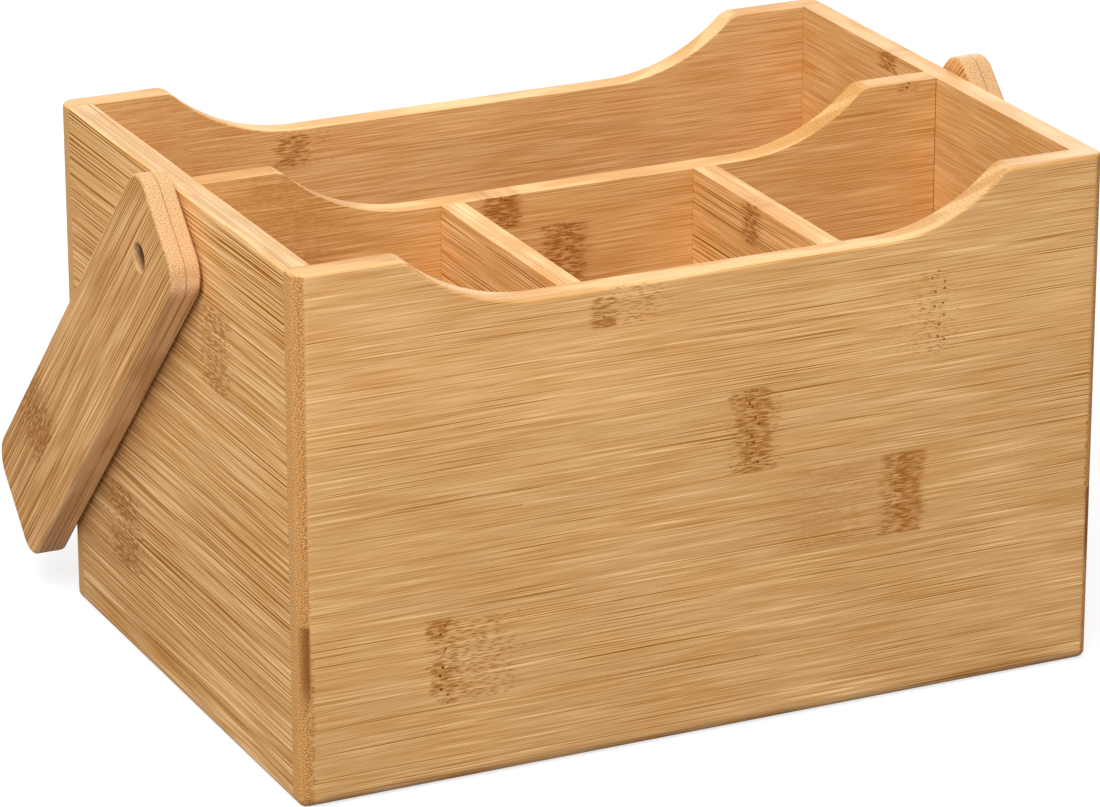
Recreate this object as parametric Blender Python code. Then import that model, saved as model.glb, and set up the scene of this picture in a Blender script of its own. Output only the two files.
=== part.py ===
"""Bamboo utensil caddy: three wells in front, a long well behind, and a handle that swings over the box.

Units are metres, +Z is up, and the origin is the middle of the box on the surface it stands on.
X runs from side to side, -Y is the front, and the handle turns about an axis along X.
"""

import math

import bmesh
import bpy
from mathutils import Vector

# Box
WIDTH = 0.260
DEPTH = 0.184
HEIGHT = 0.162
BOARD = 0.008
BASE_THICKNESS = 0.005
REBATE_DEPTH = 0.004

# Scooped top edge, shared by the front panel, the back panel and the middle divider
SCOOP_DEPTH = 0.0174
SCOOP_RADIUS = 0.060
SHOULDER_LENGTH = 0.031
SHOULDER_RADIUS = 0.006

# Rounding that sanding leaves on the outside of the box
CORNER_RADIUS = 0.004
FOOT_RADIUS = 0.002
RIM_RADIUS = 0.0011

# Handle arms: flat boards with rounded corners
ARM_WIDTH = 0.041
ARM_THICKNESS = 0.0095
ARM_CORNER_RADIUS = 0.009
ARM_EDGE_RADIUS = 0.001
PIVOT_BELOW_RIM = 0.021
PIVOT_TO_ARM_END = 0.0205
GRIP_TO_ARM_END = 0.0205
ARM_ABOVE_TABLE = 0.008

# Grip bar and the dowels that hold it between the arms
GRIP_DIAMETER = 0.020
GRIP_END_CHAMFER = 0.001
DOWEL_DIAMETER = 0.008
DOWEL_IN_ARM = 0.006
DOWEL_IN_GRIP = 0.018
DOWEL_CHAMFER = 0.0008

# Pivot screws and the washers that keep the arms off the side panels
SCREW_DIAMETER = 0.004
SCREW_LENGTH = 0.025
SCREW_TIP_LENGTH = 0.004
SCREW_HEAD_DIAMETER = 0.0072
SCREW_HEAD_HEIGHT = 0.0022
SCREW_HEAD_RADIUS = 0.001
COUNTERBORE_DIAMETER = 0.0088
COUNTERBORE_DEPTH = 0.0065
WASHER_DIAMETER = 0.012
WASHER_THICKNESS = 0.0005

# Clearance between pieces that touch or fit into each other
GAP = 0.0003

# How finely curves are cut
SCOOP_STEPS = 14
SHOULDER_STEPS = 5
CORNER_STEPS = 6
ROUNDING_STEPS = 3
ROUND_STEPS = 32
GRIP_STEPS = 48
SMOOTH_ANGLE = math.radians(35)

# Places worked out from the sizes above
INNER_WIDTH = WIDTH - 2 * BOARD
INNER_DEPTH = DEPTH - 2 * BOARD
CROSS_DIVIDERS = ("left_cross_divider", "right_cross_divider")
WELL_WIDTH = (INNER_WIDTH - len(CROSS_DIVIDERS) * BOARD) / (len(CROSS_DIVIDERS) + 1)
DIVIDER_FOOT = BASE_THICKNESS + GAP
SCOOP_FLOOR = HEIGHT - SCOOP_DEPTH
PIVOT_HEIGHT = HEIGHT - PIVOT_BELOW_RIM
ARM_TO_PANEL = WASHER_THICKNESS + 2 * GAP
ARM_INNER_X = WIDTH / 2 + ARM_TO_PANEL
ARM_OUTER_X = ARM_INNER_X + ARM_THICKNESS
GRIP_LENGTH = 2 * (ARM_INNER_X - GAP)

# Folded back, the grip rests against the back panel and the arms stay clear of the table
GRIP_OUT = DEPTH / 2 + GAP + GRIP_DIAMETER / 2
GRIP_REST_HEIGHT = ARM_ABOVE_TABLE + math.hypot(GRIP_TO_ARM_END, ARM_WIDTH / 2)
GRIP_DROP = PIVOT_HEIGHT - GRIP_REST_HEIGHT
GRIP_REACH = math.hypot(GRIP_OUT, GRIP_DROP)
HANDLE_REST_ANGLE = math.atan2(GRIP_OUT, GRIP_DROP)


def clear_scene():
    for obj in list(bpy.data.objects):
        bpy.data.objects.remove(obj, do_unlink=True)


def make_material(name, colour, roughness, metallic=0.0):
    material = bpy.data.materials.new(name)
    material.use_nodes = True
    shader = material.node_tree.nodes["Principled BSDF"]
    shader.inputs["Base Color"].default_value = (*colour, 1.0)
    shader.inputs["Roughness"].default_value = roughness
    shader.inputs["Metallic"].default_value = metallic
    material.diffuse_color = (*colour, 1.0)
    return material


def add_object(name, bm, material=None, parent=None, location=(0, 0, 0), turn=0.0):
    """Turn a bmesh into a named object; turn is its angle about Z."""
    bmesh.ops.recalc_face_normals(bm, faces=bm.faces)
    mesh = bpy.data.meshes.new(name)
    bm.to_mesh(mesh)
    bm.free()
    mesh.shade_smooth()
    mesh.set_sharp_from_angle(angle=SMOOTH_ANGLE)
    if material:
        mesh.materials.append(material)
    obj = bpy.data.objects.new(name, mesh)
    obj.parent = parent
    obj.location = location
    obj.rotation_euler.z = turn
    bpy.context.scene.collection.objects.link(obj)
    return obj


def add_cutter(name, bm, parent=None, location=(0, 0, 0)):
    cutter = add_object(name, bm, parent=parent, location=location)
    cutter.hide_render = True
    cutter.display_type = "WIRE"
    return cutter


def cut(obj, cutter):
    modifier = obj.modifiers.new("Cut " + cutter.name, "BOOLEAN")
    modifier.operation = "DIFFERENCE"
    modifier.solver = "EXACT"
    modifier.object = cutter


def arc(centre, radius, start, end, steps):
    """Points of an arc in a plane, both ends included."""
    points = []
    for i in range(steps + 1):
        angle = start + (end - start) * i / steps
        points.append((centre[0] + radius * math.cos(angle), centre[1] + radius * math.sin(angle)))
    return points


def box_outline(half_length, foot, top):
    return [(-half_length, foot), (half_length, foot), (half_length, top), (-half_length, top)]


def scooped_outline(half_length, foot):
    """A board's outline: flat shoulders, a rounded corner, then a wide arc down to a flat low middle.

    The corner arc is tangent to the shoulder and to the scoop arc, so one angle ends them both.
    """
    corner_x = WIDTH / 2 - SHOULDER_LENGTH
    rise = SCOOP_RADIUS - SCOOP_DEPTH + SHOULDER_RADIUS
    centres_apart = SCOOP_RADIUS + SHOULDER_RADIUS
    sweep = math.acos(rise / centres_apart)
    scoop_centre = (corner_x - centres_apart * math.sin(sweep), SCOOP_FLOOR + SCOOP_RADIUS)
    corner_centre = (corner_x, HEIGHT - SHOULDER_RADIUS)
    up = math.pi / 2
    right_half = arc(corner_centre, SHOULDER_RADIUS, up, up + sweep, SHOULDER_STEPS)
    right_half += arc(scoop_centre, SCOOP_RADIUS, sweep - up, -up, SCOOP_STEPS)[1:]
    left_half = [(-x, z) for x, z in reversed(right_half)]
    ends = [(-half_length, foot), (half_length, foot), (half_length, HEIGHT)]
    return ends + right_half + left_half + [(-half_length, HEIGHT)]


def rounded_outline(left, right, foot, top, radius):
    """A rectangle with quarter arcs at its four corners."""
    corners = [(left + radius, foot + radius, 2), (right - radius, foot + radius, 3),
               (right - radius, top - radius, 0), (left + radius, top - radius, 1)]
    points = []
    for x, z, quarter in corners:
        start = quarter * math.pi / 2
        points += arc((x, z), radius, start, start + math.pi / 2, CORNER_STEPS)
    return points


def board(outline, thickness):
    """Extrude an outline in X and Z from y = 0, its outer face, to y = thickness."""
    bm = bmesh.new()
    face = bm.faces.new([bm.verts.new((x, 0, z)) for x, z in outline])
    grown = bmesh.ops.extrude_face_region(bm, geom=[face])
    moved = [item for item in grown["geom"] if isinstance(item, bmesh.types.BMVert)]
    bmesh.ops.translate(bm, verts=moved, vec=(0, thickness, 0))
    bmesh.ops.recalc_face_normals(bm, faces=bm.faces)
    bm.normal_update()
    return bm


def round_edges(bm, edges, radius, steps=ROUNDING_STEPS):
    bmesh.ops.bevel(bm, geom=edges, offset=radius, offset_type="OFFSET", segments=steps,
                    profile=0.5, affect="EDGES", clamp_overlap=True)
    bm.normal_update()


def outer_edges(bm, direction):
    """Edges where faces that look along direction meet upright faces, less the board's inner face."""
    found = []
    for edge in bm.edges:
        normals = [face.normal for face in edge.link_faces]
        flat = [n for n in normals if n.dot(direction) > 0.5]
        upright = [n for n in normals if abs(n.z) < 0.1 and n.y < 0.5]
        if len(flat) == 1 and len(upright) == 1:
            found.append(edge)
    return found


def ease_outside(bm, round_ends):
    """Round a wall's outer edges: its upright ends where they make the box's corners, its foot and rim."""
    if round_ends:
        ends = [e for e in bm.edges if all(v.co.y < GAP for v in e.verts)
                and abs(e.verts[0].co.x - e.verts[1].co.x) < GAP
                and abs(abs(e.verts[0].co.x) - WIDTH / 2) < GAP]
        round_edges(bm, ends, CORNER_RADIUS)
    round_edges(bm, outer_edges(bm, Vector((0, 0, -1))), FOOT_RADIUS)
    round_edges(bm, outer_edges(bm, Vector((0, 0, 1))), RIM_RADIUS)


def block(low, high):
    """A box between two corners."""
    bm = bmesh.new()
    bmesh.ops.create_cube(bm, size=1.0)
    size = [b - a for a, b in zip(low, high)]
    centre = [(a + b) / 2 for a, b in zip(low, high)]
    bmesh.ops.scale(bm, vec=size, verts=bm.verts)
    bmesh.ops.translate(bm, vec=centre, verts=bm.verts)
    return bm


def turned(profile, steps=ROUND_STEPS, closed=False):
    """Spin a profile of (x, radius) points about X; a closed profile makes a ring."""
    bm = bmesh.new()
    verts = [bm.verts.new((x, 0, radius)) for x, radius in profile]
    edges = [bm.edges.new(pair) for pair in zip(verts, verts[1:])]
    if closed:
        edges.append(bm.edges.new((verts[-1], verts[0])))
    bmesh.ops.spin(bm, geom=verts + edges, cent=(0, 0, 0), axis=(1, 0, 0), dvec=(0, 0, 0),
                   angle=2 * math.pi, steps=steps, use_merge=True, use_duplicate=False)
    bmesh.ops.remove_doubles(bm, verts=bm.verts, dist=GAP / 100)
    return bm


def rod_profile(start, end, radius, chamfer=0.0):
    """Profile of a plain rod along X, with its ends chamfered."""
    if not chamfer:
        return [(start, 0), (start, radius), (end, radius), (end, 0)]
    inner = radius - chamfer
    return [(start, 0), (start, inner), (start + chamfer, radius),
            (end - chamfer, radius), (end, inner), (end, 0)]


def make_walls(wood):
    """Front and back run the full width; the side panels stand between them. The base sits in a rebate."""
    seat_x = INNER_WIDTH / 2 + REBATE_DEPTH
    seat_y = INNER_DEPTH / 2 + REBATE_DEPTH
    seat = add_cutter("base_seat", block((-seat_x, -seat_y, -BASE_THICKNESS),
                                         (seat_x, seat_y, DIVIDER_FOOT)))
    walls = {}
    for name, turn in (("front_panel", 0.0), ("back_panel", math.pi)):
        bm = board(scooped_outline(WIDTH / 2, 0), BOARD)
        ease_outside(bm, round_ends=True)
        location = (0, -math.cos(turn) * DEPTH / 2, 0)
        walls[name] = add_object(name, bm, wood, location=location, turn=turn)
    for name, side in (("left_panel", -1), ("right_panel", 1)):
        bm = board(box_outline(INNER_DEPTH / 2 - GAP, 0, HEIGHT), BOARD)
        ease_outside(bm, round_ends=False)
        location = (side * WIDTH / 2, 0, 0)
        walls[name] = add_object(name, bm, wood, location=location, turn=side * math.pi / 2)
    for wall in walls.values():
        cut(wall, seat)
    base = block((GAP - seat_x, GAP - seat_y, 0), (seat_x - GAP, seat_y - GAP, BASE_THICKNESS))
    add_object("base_panel", base, wood)
    return walls


def make_dividers(wood):
    """One divider from side to side, scooped like the panels, and short ones between it and the front."""
    outline = scooped_outline(INNER_WIDTH / 2 - GAP, DIVIDER_FOOT)
    middle = add_object("middle_divider", board(outline, BOARD), wood, location=(0, -BOARD / 2, 0))
    front = -INNER_DEPTH / 2 + GAP
    back = -BOARD / 2 - GAP
    left_face = -INNER_WIDTH / 2
    for name in CROSS_DIVIDERS:
        left_face += WELL_WIDTH
        outline = box_outline((back - front) / 2, DIVIDER_FOOT, SCOOP_FLOOR)
        location = (left_face, (front + back) / 2, 0)
        add_object(name, board(outline, BOARD), wood, location=location, turn=-math.pi / 2)
        left_face += BOARD
    return middle


def arm_outline():
    """The arm hangs straight down from its pivot, which is at z = 0."""
    return rounded_outline(-ARM_WIDTH / 2, ARM_WIDTH / 2, -GRIP_REACH - GRIP_TO_ARM_END,
                           PIVOT_TO_ARM_END, ARM_CORNER_RADIUS)


def make_arm(name, side, pivot, wood):
    """A flat arm, counterbored for its screw on the outside and bored for its dowel on the inside."""
    bm = board(arm_outline(), ARM_THICKNESS)
    rims = [e for e in bm.edges if abs(e.verts[0].co.y - e.verts[1].co.y) < GAP]
    round_edges(bm, rims, ARM_EDGE_RADIUS)
    arm = add_object(name, bm, wood, parent=pivot, location=(side * ARM_OUTER_X, 0, 0),
                     turn=side * math.pi / 2)
    counterbore_floor = ARM_OUTER_X - COUNTERBORE_DEPTH
    outside = ARM_OUTER_X + ARM_THICKNESS
    inside = ARM_INNER_X - ARM_THICKNESS
    holes = (
        ("counterbore", counterbore_floor, outside, COUNTERBORE_DIAMETER / 2, 0),
        ("screw_hole", inside, outside, SCREW_DIAMETER / 2 + GAP, 0),
        ("dowel_socket", inside, ARM_INNER_X + DOWEL_IN_ARM + GAP, DOWEL_DIAMETER / 2 + GAP, -GRIP_REACH),
    )
    for hole, start, end, radius, height in holes:
        bm = turned(rod_profile(side * start, side * end, radius))
        cut(arm, add_cutter(name + "_" + hole, bm, parent=pivot, location=(0, 0, height)))


def make_grip(pivot, wood, dowel_wood):
    """A round bar between the arms, held at each end by a dowel."""
    half = GRIP_LENGTH / 2
    grip_bm = turned(rod_profile(-half, half, GRIP_DIAMETER / 2, GRIP_END_CHAMFER), GRIP_STEPS)
    grip = add_object("grip_bar", grip_bm, wood, parent=pivot, location=(0, 0, -GRIP_REACH))
    radius = DOWEL_DIAMETER / 2
    for name, side in (("left_grip_dowel", -1), ("right_grip_dowel", 1)):
        start = side * (half - DOWEL_IN_GRIP)
        end = side * (ARM_INNER_X + DOWEL_IN_ARM)
        low, high = sorted((start, end))
        dowel = turned(rod_profile(low, high, radius, DOWEL_CHAMFER))
        add_object(name, dowel, dowel_wood, parent=pivot, location=(0, 0, -GRIP_REACH))
        socket = turned(rod_profile(start - side * GAP, end + side * GAP, radius + GAP))
        cut(grip, add_cutter(name + "_socket", socket, parent=pivot, location=(0, 0, -GRIP_REACH)))


def screw_profile():
    """A pan head screw, its head's top first; x = 0 is the underside of the head."""
    shank = SCREW_DIAMETER / 2
    head = SCREW_HEAD_DIAMETER / 2
    crown = arc((-SCREW_HEAD_HEIGHT + SCREW_HEAD_RADIUS, head - SCREW_HEAD_RADIUS), SCREW_HEAD_RADIUS,
                math.pi, math.pi / 2, ROUNDING_STEPS)
    return [(-SCREW_HEAD_HEIGHT, 0), *crown, (0, head), (0, shank),
            (SCREW_LENGTH - SCREW_TIP_LENGTH, shank), (SCREW_LENGTH, 0)]


def make_pivots(walls, middle_divider, steel, nylon):
    """Each screw runs through its arm, a washer and the side panel into the middle divider's end."""
    head_x = ARM_OUTER_X - COUNTERBORE_DEPTH + GAP
    hole_end = head_x - SCREW_LENGTH - GAP
    hole_radius = SCREW_DIAMETER / 2 + GAP
    place = (0, 0, PIVOT_HEIGHT)
    for word, side in (("left", -1), ("right", 1)):
        screw = turned([(side * (head_x - x), radius) for x, radius in screw_profile()])
        add_object(word + "_pivot_screw", screw, steel, location=place)
        start = side * (WIDTH / 2 + GAP)
        end = side * (WIDTH / 2 + GAP + WASHER_THICKNESS)
        outer = WASHER_DIAMETER / 2
        ring = turned([(start, hole_radius), (start, outer), (end, outer), (end, hole_radius)], closed=True)
        add_object(word + "_washer", ring, nylon, location=place)
        pilot = turned(rod_profile(side * hole_end, side * ARM_INNER_X, hole_radius))
        hole = add_cutter(word + "_pilot_hole", pilot, location=place)
        cut(walls[word + "_panel"], hole)
        cut(middle_divider, hole)


def make_handle(arm_wood, grip_wood, dowel_wood):
    """Everything that swings hangs from one empty on the pivot axis, tilted to the folded position."""
    pivot = bpy.data.objects.new("handle_pivot", None)
    pivot.location = (0, 0, PIVOT_HEIGHT)
    pivot.rotation_euler.x = HANDLE_REST_ANGLE
    bpy.context.scene.collection.objects.link(pivot)
    make_arm("left_arm", -1, pivot, arm_wood)
    make_arm("right_arm", 1, pivot, arm_wood)
    make_grip(pivot, grip_wood, dowel_wood)


def main():
    clear_scene()
    box_wood = make_material("bamboo_box", (0.62, 0.36, 0.15), 0.5)
    arm_wood = make_material("bamboo_arm", (0.55, 0.30, 0.12), 0.5)
    grip_wood = make_material("bamboo_grip", (0.58, 0.33, 0.13), 0.45)
    dowel_wood = make_material("dowel_wood", (0.60, 0.42, 0.24), 0.6)
    steel = make_material("screw_steel", (0.62, 0.62, 0.60), 0.3, metallic=1.0)
    nylon = make_material("washer_nylon", (0.75, 0.74, 0.70), 0.4)
    walls = make_walls(box_wood)
    middle_divider = make_dividers(box_wood)
    make_handle(arm_wood, grip_wood, dowel_wood)
    make_pivots(walls, middle_divider, steel, nylon)


main()
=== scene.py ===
import math

import bmesh
import bpy
from mathutils import Matrix, Vector


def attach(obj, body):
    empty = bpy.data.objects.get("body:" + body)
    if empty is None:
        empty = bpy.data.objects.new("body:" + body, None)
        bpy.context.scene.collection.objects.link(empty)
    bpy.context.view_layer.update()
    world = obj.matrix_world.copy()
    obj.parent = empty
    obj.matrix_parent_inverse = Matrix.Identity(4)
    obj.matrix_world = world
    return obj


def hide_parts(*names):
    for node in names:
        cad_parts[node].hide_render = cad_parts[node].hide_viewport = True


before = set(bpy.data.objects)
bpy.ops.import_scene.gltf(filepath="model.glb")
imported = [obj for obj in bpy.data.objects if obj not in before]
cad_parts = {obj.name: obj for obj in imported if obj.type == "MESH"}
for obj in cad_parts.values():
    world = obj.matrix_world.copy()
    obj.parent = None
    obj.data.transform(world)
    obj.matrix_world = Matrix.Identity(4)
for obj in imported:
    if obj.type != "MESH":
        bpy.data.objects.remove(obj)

# Sizes of the caddy in metres, the same as in the part's source
WIDTH = 0.260
DEPTH = 0.184
HEIGHT = 0.162
BOARD = 0.008
BASE_THICKNESS = 0.005
REBATE_DEPTH = 0.004
SCOOP_DEPTH = 0.0174
SCOOP_RADIUS = 0.060
SHOULDER_LENGTH = 0.031
SHOULDER_RADIUS = 0.006
CORNER_RADIUS = 0.004
FOOT_RADIUS = 0.002
RIM_RADIUS = 0.0011
ARM_WIDTH = 0.041
ARM_THICKNESS = 0.0095
ARM_CORNER_RADIUS = 0.009
ARM_EDGE_RADIUS = 0.001
PIVOT_BELOW_RIM = 0.021
PIVOT_TO_ARM_END = 0.0205
GRIP_TO_ARM_END = 0.0205
ARM_ABOVE_TABLE = 0.008
GRIP_DIAMETER = 0.020
GRIP_END_RADIUS = 0.0012
SCREW_HEAD_DIAMETER = 0.0072
SCREW_HEAD_HEIGHT = 0.0022
COUNTERBORE_DIAMETER = 0.0088
COUNTERBORE_DEPTH = 0.0065
WASHER_DIAMETER = 0.012
WASHER_THICKNESS = 0.0005
GAP = 0.0003

# Small roundings and details that only the dressed model has
INNER_RIM_EASE = 0.00045
CORNER_LINE = 0.00035
HOLE_EASE = 0.0004
BASE_EASE = 0.0003
WASHER_EASE = 0.00012
WASHER_BORE_RADIUS = 0.0023
SHANK_RADIUS = 0.0020
SHANK_TIP = 0.0200
SHANK_TAPER = 0.0175
HEAD_WALL = 0.0009
HEAD_CROWN = 0.0003
HEAD_CROWN_RIM = 0.86
HEAD_CROWN_FLAT = 0.55
RECESS_DEPTH = 0.0012
RECESS_HALF_LENGTH = 0.0021
RECESS_HALF_WIDTH = 0.00042
RECESS_TURN = 0.4

# How the meshes are made
SHARP_ANGLE = math.radians(38)
ROUND_STEPS = 48
NEAR = 0.00001
RUN_OUT = 0.00005

# Places worked out from the sizes
INNER_WIDTH = WIDTH - 2 * BOARD
INNER_DEPTH = DEPTH - 2 * BOARD
CROSS_DIVIDERS = ("left_cross_divider", "right_cross_divider")
WELL_WIDTH = (INNER_WIDTH - len(CROSS_DIVIDERS) * BOARD) / (len(CROSS_DIVIDERS) + 1)
DIVIDER_FOOT = BASE_THICKNESS + GAP
SCOOP_FLOOR = HEIGHT - SCOOP_DEPTH
PIVOT_HEIGHT = HEIGHT - PIVOT_BELOW_RIM
ARM_INNER_X = WIDTH / 2 + WASHER_THICKNESS + 2 * GAP
ARM_OUTER_X = ARM_INNER_X + ARM_THICKNESS
GRIP_OUT = DEPTH / 2 + GAP + GRIP_DIAMETER / 2
GRIP_DROP = PIVOT_HEIGHT - ARM_ABOVE_TABLE - math.hypot(GRIP_TO_ARM_END, ARM_WIDTH / 2)
GRIP_REACH = math.hypot(GRIP_OUT, GRIP_DROP)
HANDLE_REST_ANGLE = math.atan2(GRIP_OUT, GRIP_DROP)

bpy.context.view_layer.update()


def to_piece(name, bm, material, body, nodes):
    """Make the bmesh a piece that rides on a body and stands for CAD nodes."""
    bmesh.ops.recalc_face_normals(bm, faces=bm.faces)
    mesh = bpy.data.meshes.new(name)
    bm.to_mesh(mesh)
    bm.free()
    mesh.shade_smooth()
    mesh.set_sharp_from_angle(angle=SHARP_ANGLE)
    mesh.materials.append(material)
    piece = bpy.data.objects.new(name, mesh)
    bpy.context.scene.collection.objects.link(piece)
    weights = piece.modifiers.new("Even faces", "WEIGHTED_NORMAL")
    weights.keep_sharp = True
    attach(piece, body)
    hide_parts(*nodes)
    return piece


def cut_away(bm, cutter):
    """Take one bmesh out of another with a Boolean, and give the result."""
    objects = []
    for part in (bm, cutter):
        bmesh.ops.recalc_face_normals(part, faces=part.faces)
        mesh = bpy.data.meshes.new("cutting")
        part.to_mesh(mesh)
        part.free()
        obj = bpy.data.objects.new("cutting", mesh)
        bpy.context.scene.collection.objects.link(obj)
        objects.append(obj)
    whole, tool = objects
    modifier = whole.modifiers.new("Cut", "BOOLEAN")
    modifier.operation = "DIFFERENCE"
    modifier.solver = "EXACT"
    modifier.object = tool
    graph = bpy.context.evaluated_depsgraph_get()
    result = bmesh.new()
    result.from_object(whole, graph)
    for obj in objects:
        bpy.data.objects.remove(obj, do_unlink=True)
    bmesh.ops.remove_doubles(result, verts=result.verts, dist=NEAR / 10)
    bmesh.ops.recalc_face_normals(result, faces=result.faces)
    result.normal_update()
    return result


def round_edges(bm, edges, radius, steps):
    """Round some edges off, in a few steps."""
    bmesh.ops.bevel(bm, geom=edges, offset=radius, offset_type="OFFSET", segments=steps,
                    profile=0.5, affect="EDGES", clamp_overlap=True, material=-1)
    bm.normal_update()


def spun(bm, vert, centre, angle, steps):
    """Draw an arc from a vertex, turning about an axis along Y, and give its last vertex."""
    made = bmesh.ops.spin(bm, geom=[vert], cent=centre, axis=(0, 1, 0), dvec=(0, 0, 0), angle=angle,
                          steps=steps, use_merge=False, use_duplicate=False)
    return next(item for item in made["geom_last"] if isinstance(item, bmesh.types.BMVert))


def scooped_face(half_length, foot):
    """Half of a scooped board's outline, drawn with two arcs, then mirrored and filled."""
    bm = bmesh.new()
    corner_x = WIDTH / 2 - SHOULDER_LENGTH
    centres_apart = SCOOP_RADIUS + SHOULDER_RADIUS
    sweep = math.acos((centres_apart - SCOOP_DEPTH) / centres_apart)
    scoop_x = corner_x - centres_apart * math.sin(sweep)
    foot_middle = bm.verts.new((0, 0, foot))
    foot_end = bm.verts.new((half_length, 0, foot))
    top_end = bm.verts.new((half_length, 0, HEIGHT))
    shoulder = bm.verts.new((corner_x, 0, HEIGHT))
    for pair in ((foot_middle, foot_end), (foot_end, top_end), (top_end, shoulder)):
        bm.edges.new(pair)
    slope = spun(bm, shoulder, (corner_x, 0, HEIGHT - SHOULDER_RADIUS), -sweep, 8)
    low = spun(bm, slope, (scoop_x, 0, SCOOP_FLOOR + SCOOP_RADIUS), sweep, 28)
    low_middle = bm.verts.new((0, 0, SCOOP_FLOOR))
    bm.edges.new((low, low_middle))
    bmesh.ops.mirror(bm, geom=bm.verts[:] + bm.edges[:], axis="X", merge_dist=NEAR)
    bmesh.ops.contextual_create(bm, geom=bm.edges[:])
    middle = [v for v in bm.verts if abs(v.co.x) < NEAR]
    bmesh.ops.dissolve_verts(bm, verts=middle)
    return bm


def plain_face(half_length, foot, top):
    """A straight-topped board's outline, filled."""
    bm = bmesh.new()
    bmesh.ops.create_grid(bm, x_segments=1, y_segments=1, size=0.5)
    bmesh.ops.rotate(bm, verts=bm.verts, matrix=Matrix.Rotation(math.pi / 2, 3, "X"))
    bmesh.ops.scale(bm, verts=bm.verts, vec=(2 * half_length, 1, top - foot))
    bmesh.ops.translate(bm, verts=bm.verts, vec=(0, 0, (top + foot) / 2))
    return bm


def thickened(bm, thickness):
    """Extrude a face at y = 0, a board's outer side, to y = thickness."""
    grown = bmesh.ops.extrude_face_region(bm, geom=bm.faces[:])
    moved = [item for item in grown["geom"] if isinstance(item, bmesh.types.BMVert)]
    bmesh.ops.translate(bm, verts=moved, vec=(0, thickness, 0))
    bmesh.ops.recalc_face_normals(bm, faces=bm.faces)
    bm.normal_update()
    return bm


def slice_at(bm, spans):
    """Cut a board across at each joint's two sides, and again just inside them.

    The rounding of an edge then ends cleanly where another board meets it.
    """
    places = {x for start, end in spans for x in (start, start + RUN_OUT, end - RUN_OUT, end)}
    for place in sorted(places):
        bmesh.ops.bisect_plane(bm, geom=bm.verts[:] + bm.edges[:] + bm.faces[:], dist=NEAR / 10,
                               plane_co=(place, 0, 0), plane_no=(1, 0, 0))
    bm.normal_update()


def edge_middle(edge):
    return (edge.verts[0].co + edge.verts[1].co) / 2


def rim_edges(bm, up, side, joined=()):
    """Upper or lower edges of a board's face at y = side, less those where another board meets it."""
    found = []
    for edge in bm.edges:
        if any(abs(v.co.y - side) > NEAR for v in edge.verts) or len(edge.link_faces) != 2:
            continue
        flat = [f for f in edge.link_faces if f.normal.z * up > 0.5]
        x = edge_middle(edge).x
        if len(flat) == 1 and not any(start < x < end for start, end in joined):
            found.append(edge)
    return found


def upright_edges(bm, half_length, side):
    """Edges that stand at a board's ends, on its face at y = side."""
    return [e for e in bm.edges if all(abs(v.co.y - side) < NEAR for v in e.verts)
            and all(abs(abs(v.co.x) - half_length) < NEAR for v in e.verts)]


def put(bm, location, turn):
    """Turn a board about the upright axis and set it in its place."""
    bmesh.ops.rotate(bm, verts=bm.verts, cent=(0, 0, 0), matrix=Matrix.Rotation(turn, 3, "Z"))
    bmesh.ops.translate(bm, verts=bm.verts, vec=location)


def block(low, high):
    """A box between two corners."""
    bm = bmesh.new()
    size = [b - a for a, b in zip(low, high)]
    centre = [(a + b) / 2 for a, b in zip(low, high)]
    bmesh.ops.create_cube(bm, size=1.0)
    bmesh.ops.scale(bm, verts=bm.verts, vec=size)
    bmesh.ops.translate(bm, verts=bm.verts, vec=centre)
    return bm


def base_seat():
    """The rebate that the base panel sits in, cut out of all four walls."""
    seat_x = INNER_WIDTH / 2 + REBATE_DEPTH
    seat_y = INNER_DEPTH / 2 + REBATE_DEPTH
    return block((-seat_x, -seat_y, -BASE_THICKNESS), (seat_x, seat_y, DIVIDER_FOOT))


def cross_divider_spans():
    """Where each cross divider stands, from side to side."""
    spans = []
    start = -INNER_WIDTH / 2
    for _ in CROSS_DIVIDERS:
        start += WELL_WIDTH
        spans.append((start, start + BOARD))
        start += BOARD
    return spans


def make_long_wall(name, turn, joined, material):
    """Front or back panel: it runs the full width, and its ends make the box's corners."""
    half = WIDTH / 2
    bm = thickened(scooped_face(half, 0), BOARD)
    corners = upright_edges(bm, half, 0)
    round_edges(bm, corners, CORNER_RADIUS, 6)
    for up, radius, steps in ((-1, FOOT_RADIUS, 5), (1, RIM_RADIUS, 4)):
        outside = [e for e in bm.edges if edge_middle(e).y < BOARD - NEAR and len(e.link_faces) == 2
                   and sum(f.normal.z * up > 0.5 for f in e.link_faces) == 1
                   and any(abs(f.normal.z) < 0.1 for f in e.link_faces)]
        round_edges(bm, outside, radius, steps)
    for vert in bm.verts:
        vert.co.z = max(vert.co.z, 0.0)
    ends = [(-half, -INNER_WIDTH / 2), (INNER_WIDTH / 2, half)]
    joined = ends + list(joined)
    slice_at(bm, joined)
    round_edges(bm, rim_edges(bm, 1, BOARD, joined), INNER_RIM_EASE, 3)
    put(bm, (0, -math.cos(turn) * DEPTH / 2, 0), turn)
    bm = cut_away(bm, base_seat())
    return to_piece(name + "_board", bm, material, "box", [name])


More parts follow.
